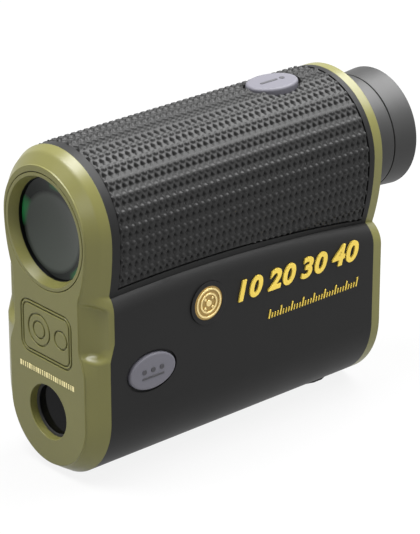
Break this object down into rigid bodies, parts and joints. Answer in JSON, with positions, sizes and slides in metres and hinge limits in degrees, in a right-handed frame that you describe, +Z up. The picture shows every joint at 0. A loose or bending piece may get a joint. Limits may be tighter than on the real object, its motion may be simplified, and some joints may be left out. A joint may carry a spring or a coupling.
{
  "type": "laser rangefinder",
  "caption": "Handheld monocular laser rangefinder with a round objective over a laser aperture, textured grip, two push buttons, turning eyecup and hinged battery door.",
  "frame": {"origin": "on the flat base strip, midway between the front face and the eyecup's lip, in the middle plane", "axes": "+Z up, +Y from the objective towards the eyecup, +X towards the side with the mode button"},
  "size_m": [0.0358, 0.097, 0.0743],
  "materials": {
    "olive_polymer": "moulded olive polymer with a fine satin grain",
    "black_polymer": "moulded charcoal polymer, fine matt grain",
    "grip_rubber": "moulded charcoal grip rubber",
    "eyecup_rubber": "soft matt black rubber",
    "black_aluminium": "black anodised, turned",
    "coated_glass": "polished, green anti-reflection coating",
    "dark_glass": "polished, near infrared filter glass",
    "grey_button": "moulded light grey polymer",
    "gold_plate": "gold coloured, turned",
    "seal_rubber": "smooth",
    "board_green": "solder mask",
    "chip_black": "moulded epoxy",
    "switch_grey": "moulded",
    "sensor_metal": "plated can",
    "steel": "stainless",
    "screw_steel": "blackened steel",
    "battery_wrap": "plain printed sleeve",
    "nickel": "nickel plated"
  },
  "bodies": {
    "housing": {"upper_shell": "black_polymer", "grip_panel": "grip_rubber", "lower_shell": "black_polymer", "front_bezel": "olive_polymer", "rear_bezel": "olive_polymer", "chassis": "black_aluminium", "objective_ring": "olive_polymer", "objective_tube": "black_aluminium", "objective_front_glass": "coated_glass", "objective_rear_glass": "coated_glass", "objective_retainer": "black_aluminium", "prism_housing": "black_aluminium", "prism_lid": "black_aluminium", "splitter_prism": "coated_glass", "roof_prism": "coated_glass", "receiver_diode": "sensor_metal", "receiver_board": "board_green", "display_frame": "black_aluminium", "display_panel": "coated_glass", "laser_window_gasket": "seal_rubber", "laser_window": "dark_glass", "laser_tube": "black_aluminium", "laser_lens": "coated_glass", "laser_lens_retainer": "black_aluminium", "laser_diode": "sensor_metal", "laser_board": "board_green", "battery_tube": "black_polymer", "battery": "battery_wrap", "battery_spring": "nickel", "hinge_pin": "steel", "door_gasket": "seal_rubber", "eyepiece_housing": "eyecup_rubber", "dioptre_seal": "seal_rubber", "trap_ring": "black_aluminium", "power_seal": "seal_rubber", "power_switch": "switch_grey", "power_board": "board_green", "mode_seal": "seal_rubber", "mode_switch": "switch_grey", "mode_board": "board_green", "main_board": "board_green", "board_chips": "chip_black", "badge": "gold_plate", "badge_surround": "black_polymer", "lanyard_bar": "steel", "rear_screws": "screw_steel", "front_screws": "steel"},
    "power_key": {"power_button": "grey_button"},
    "mode_key": {"mode_button": "grey_button"},
    "dioptre": {"dioptre_ring": "black_aluminium", "eyecup": "eyecup_rubber"},
    "ocular": {"ocular_cell": "black_aluminium", "cam_pin": "steel", "eye_lens": "coated_glass", "ocular_spacer": "black_aluminium", "field_lens": "coated_glass", "ocular_retainer": "black_aluminium"},
    "door": {"battery_door": "olive_polymer", "door_contact": "nickel"}
  },
  "joints": [
    {"name": "power_press", "type": "slide", "parent": "housing", "child": "power_key", "axis": [0, 0, -1], "range_m": [0, 0.0008], "stiffness_N_per_m": 1500, "springref_m": -0.0008},
    {"name": "mode_press", "type": "slide", "parent": "housing", "child": "mode_key", "axis": [-1, 0, 0], "range_m": [0, 0.0007], "stiffness_N_per_m": 1500, "springref_m": -0.0008},
    {"name": "dioptre_turn", "type": "hinge", "parent": "housing", "child": "dioptre", "pos_m": [0, 0.04, 0.0559], "axis": [0, 1, 0], "range_deg": [-90, 90]},
    {"name": "ocular_travel", "type": "slide", "parent": "housing", "child": "ocular", "axis": [0, 1, 0], "range_m": [-0.00125, 0.00125]},
    {"name": "door_open", "type": "hinge", "parent": "housing", "child": "door", "pos_m": [0, 0.0337, 0.0056], "axis": [-1, 0, 0], "range_deg": [0, 95]}
  ],
  "couplings": [
    {"joint": "ocular_travel", "follows": "dioptre_turn", "m_per_rad": -0.00076394}
  ]
}
